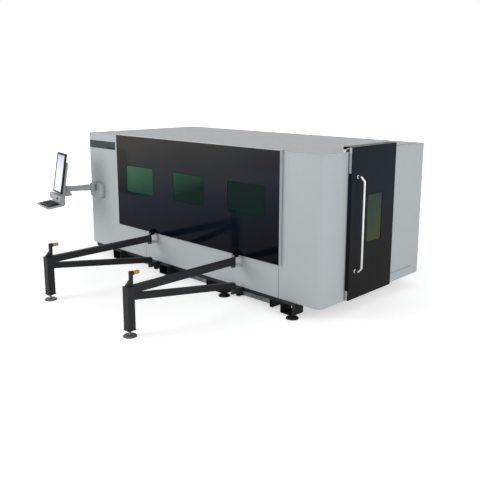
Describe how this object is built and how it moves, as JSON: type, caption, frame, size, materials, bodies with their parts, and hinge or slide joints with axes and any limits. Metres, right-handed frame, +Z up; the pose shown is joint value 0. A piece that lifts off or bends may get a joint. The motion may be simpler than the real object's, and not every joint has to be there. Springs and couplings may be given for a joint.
{
  "type": "laser cutting machine",
  "caption": "Enclosed flatbed laser cutting machine with pull-out worktable on swing-out support arms, sliding side door and operator panel on a jointed arm.",
  "frame": {"origin": "middle of the whole machine's bounding box, on the floor", "axes": "+X right along the front, +Y into the machine from its front, +Z up"},
  "size_m": [5.3096, 4.2638, 2.098],
  "materials": {
    "cover_grey": "satin, light grey sheet",
    "dark_gloss": "gloss, near black",
    "green_glass": "dark green laser glass",
    "black_frame": "fine matte black",
    "steel_frame": "satin grey, welded steel",
    "ground_steel": "ground steel",
    "galvanised": "zinc coated sheet",
    "chrome": "bright",
    "amber_buffer": "translucent amber rubber",
    "black_rubber": "matte",
    "machine_alu": "machined aluminium",
    "brass": "bare",
    "cabinet_paint": "fine texture grey",
    "panel_grey": "satin grey",
    "panel_black": "matte",
    "stop_red": "gloss red",
    "plate_grey": "satin dark grey"
  },
  "bodies": {
    "machine": {"base_frame": "black_frame", "levelling_feet": "black_frame", "enclosure_frame": "steel_frame", "left_column_cover": "cover_grey", "name_plate": "plate_grey", "front_skirt_cover": "cover_grey", "right_column_cover": "cover_grey", "right_side_cover": "cover_grey", "rear_cover": "cover_grey", "roof_cover": "cover_grey", "bed_rails": "ground_steel", "bed_side_frames": "steel_frame", "arm_hinge_brackets": "black_frame", "door_tracks": "ground_steel", "door_seal": "black_rubber", "scrap_runners": "black_frame", "electrical_cabinet": "cabinet_paint", "left_side_cover": "cover_grey", "laser_source": "cabinet_paint", "extraction_plenum": "galvanised", "exhaust_spigot": "galvanised", "gas_inlet": "brass", "panel_wall_bracket": "panel_grey"},
    "worktable_drawer": {"table_frame": "steel_frame", "support_slats": "galvanised", "screen_panel": "dark_gloss", "screen_windows": "green_glass"},
    "support_roller_pair": {"support_rollers": "ground_steel"},
    "left_arm": {"left_arm_frame": "black_frame", "left_arm_foot": "black_frame", "left_arm_buffer": "amber_buffer"},
    "right_arm": {"right_arm_frame": "black_frame", "right_arm_foot": "black_frame", "right_arm_buffer": "amber_buffer"},
    "side_door": {"side_door_panel": "dark_gloss", "side_door_window": "green_glass", "side_door_hanger": "dark_gloss", "side_door_handle": "chrome"},
    "door_roller_front": {"front_door_roller": "ground_steel"},
    "door_roller_rear": {"rear_door_roller": "ground_steel"},
    "gantry": {"gantry_beam": "steel_frame", "gantry_rails": "ground_steel"},
    "head_carriage": {"carriage": "machine_alu"},
    "head_slide": {"height_slide": "machine_alu", "cutting_head": "machine_alu", "cutting_nozzle": "brass"},
    "scrap_left": {"left_scrap_drawer": "galvanised"},
    "scrap_middle": {"middle_scrap_drawer": "galvanised"},
    "scrap_right": {"right_scrap_drawer": "galvanised"},
    "cabinet_leaf": {"cabinet_door": "cabinet_paint"},
    "carrying_arm": {"panel_arm": "panel_grey"},
    "panel_head": {"panel_console": "panel_grey", "keyboard_tray": "panel_grey", "keyboard": "panel_black"},
    "monitor_unit": {"monitor": "panel_black", "monitor_rear_case": "panel_grey"},
    "selector": {"selector_knob": "black_frame"},
    "stop_cap": {"stop_button": "stop_red"}
  },
  "joints": [
    {"name": "worktable_slide", "type": "slide", "parent": "machine", "child": "worktable_drawer", "axis": [0, -1, 0], "range_m": [0, 1.56]},
    {"name": "support_rollers_spin", "type": "hinge", "parent": "worktable_drawer", "child": "support_roller_pair", "pos_m": [0.24532, -0.393, 0.6143], "axis": [1, 0, 0], "range_deg": [-30, 4500]},
    {"name": "left_arm_fold", "type": "hinge", "parent": "machine", "child": "left_arm", "pos_m": [-0.64918, -0.413, 0.3495], "axis": [0, 0, -1], "range_deg": [0, 75]},
    {"name": "right_arm_fold", "type": "hinge", "parent": "machine", "child": "right_arm", "pos_m": [1.13982, -0.413, 0.3495], "axis": [0, 0, -1], "range_deg": [0, 75]},
    {"name": "side_door_slide", "type": "slide", "parent": "machine", "child": "side_door", "axis": [0, 1, 0], "range_m": [0, 0.6]},
    {"name": "front_door_roller_spin", "type": "hinge", "parent": "side_door", "child": "door_roller_front", "pos_m": [2.43982, 0.265, 2.0733], "axis": [-1, 0, 0], "range_deg": [-30, 2322]},
    {"name": "rear_door_roller_spin", "type": "hinge", "parent": "side_door", "child": "door_roller_rear", "pos_m": [2.43982, 1.115, 2.0733], "axis": [-1, 0, 0], "range_deg": [-30, 2322]},
    {"name": "gantry_slide", "type": "slide", "parent": "machine", "child": "gantry", "axis": [0, -1, 0], "range_m": [0, 1.5]},
    {"name": "carriage_slide", "type": "slide", "parent": "gantry", "child": "head_carriage", "axis": [1, 0, 0], "range_m": [0, 3]},
    {"name": "height_slide_joint", "type": "slide", "parent": "head_carriage", "child": "head_slide", "axis": [0, 0, 1], "range_m": [-0.05, 0.15]},
    {"name": "left_scrap_slide", "type": "slide", "parent": "machine", "child": "scrap_left", "axis": [0, -1, 0], "range_m": [0, 1]},
    {"name": "middle_scrap_slide", "type": "slide", "parent": "machine", "child": "scrap_middle", "axis": [0, -1, 0], "range_m": [0, 1]},
    {"name": "right_scrap_slide", "type": "slide", "parent": "machine", "child": "scrap_right", "axis": [0, -1, 0], "range_m": [0, 1]},
    {"name": "cabinet_door_hinge", "type": "hinge", "parent": "machine", "child": "cabinet_leaf", "pos_m": [-2.40218, 0.957, 1.045], "axis": [0, 0, -1], "range_deg": [0, 100]},
    {"name": "carrying_arm_swivel", "type": "hinge", "parent": "machine", "child": "carrying_arm", "pos_m": [-2.15518, -0.4, 1.16], "axis": [0, 0, 1], "range_deg": [-65, 25]},
    {"name": "panel_swivel", "type": "hinge", "parent": "carrying_arm", "child": "panel_head", "pos_m": [-2.28118, -0.802, 1.16], "axis": [0, 0, 1], "range_deg": [-60, 15]},
    {"name": "monitor_tilt", "type": "hinge", "parent": "panel_head", "child": "monitor_unit", "pos_m": [-2.3059, -0.92351, 1.108], "axis": [-0.9799, 0.1994, 0], "range_deg": [-8, 6]},
    {"name": "selector_turn", "type": "hinge", "parent": "panel_head", "child": "selector", "pos_m": [-2.1774, -1.02925, 1.05], "axis": [0.1994, 0.9799, 0], "range_deg": [0, 90]},
    {"name": "stop_press", "type": "slide", "parent": "panel_head", "child": "stop_cap", "axis": [0.9799, -0.1994, 0], "range_m": [0, 0.006], "stiffness_N_per_m": 1500}
  ],
  "couplings": [
    {"joint": "support_rollers_spin", "follows": "worktable_slide", "rad_per_m": 50},
    {"joint": "front_door_roller_spin", "follows": "side_door_slide", "rad_per_m": 66.667},
    {"joint": "rear_door_roller_spin", "follows": "side_door_slide", "rad_per_m": 66.667}
  ]
}
